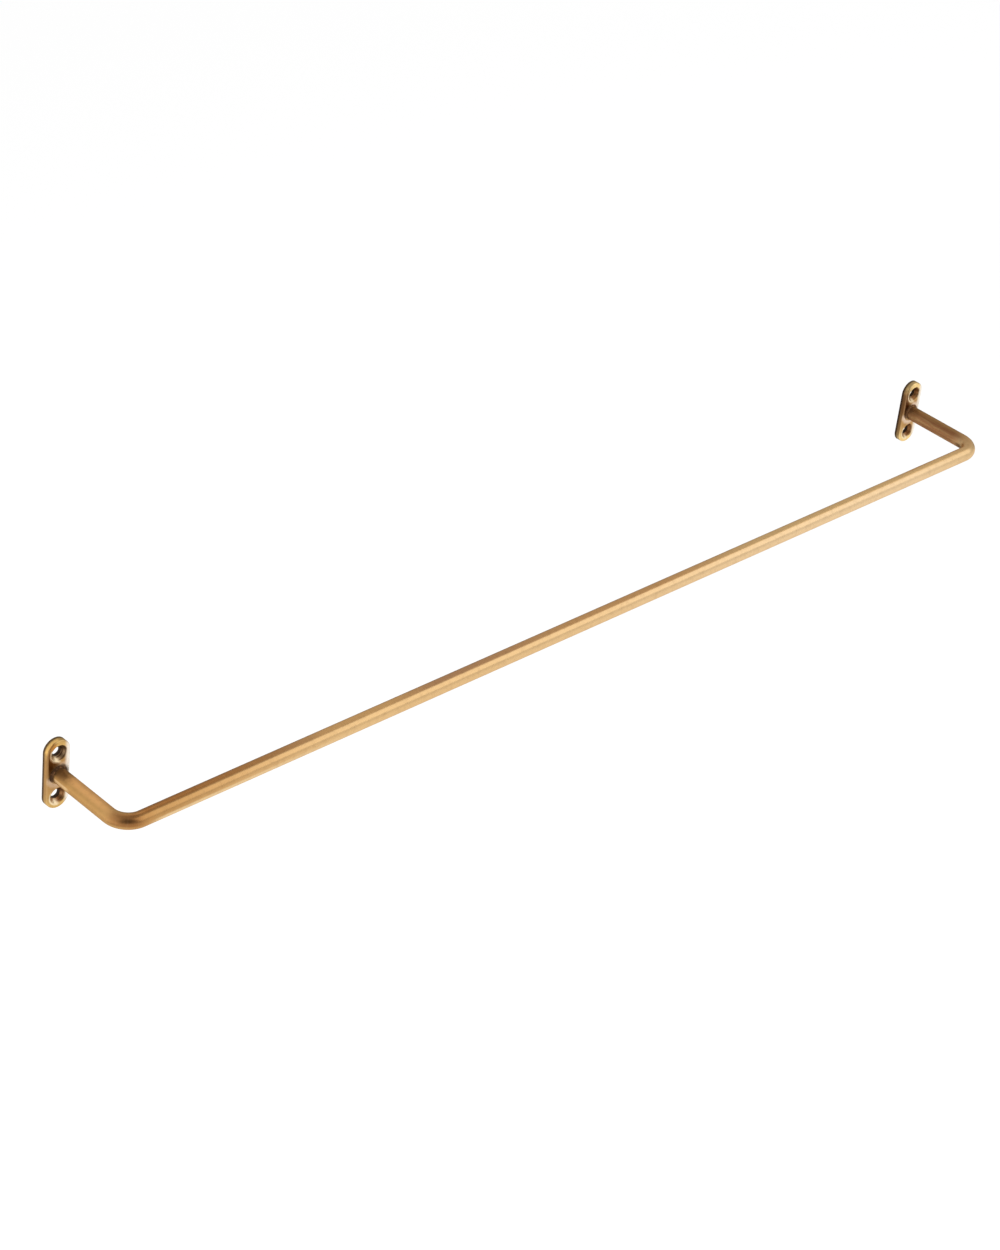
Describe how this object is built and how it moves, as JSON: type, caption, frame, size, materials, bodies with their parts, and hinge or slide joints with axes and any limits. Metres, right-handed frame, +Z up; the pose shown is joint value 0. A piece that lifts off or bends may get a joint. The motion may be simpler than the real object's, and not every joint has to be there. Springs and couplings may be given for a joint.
{
  "type": "kitchen utensil rail",
  "caption": "Slim round rail bent back at each end into a short arm, brazed to a small round-ended wall plate with countersunk screw holes; tools hang from its bar on hooks.",
  "frame": {"origin": "on the wall plane, midway between the two plates and at the height of the arms, which is the centre of the four screw holes", "axes": "+X along the hook bar to the right as seen from the room, -Y out of the wall towards the room, +Z up"},
  "size_m": [0.615, 0.0565, 0.038],
  "materials": {
    "rod_brass": "aged, brushed",
    "flange_brass": "aged, brushed",
    "braze": "dark patina"
  },
  "bodies": {
    "root": {"rail_rod": "rod_brass", "left_flange": "flange_brass", "right_flange": "flange_brass", "left_braze_fillet": "braze", "right_braze_fillet": "braze"}
  },
  "joints": []
}
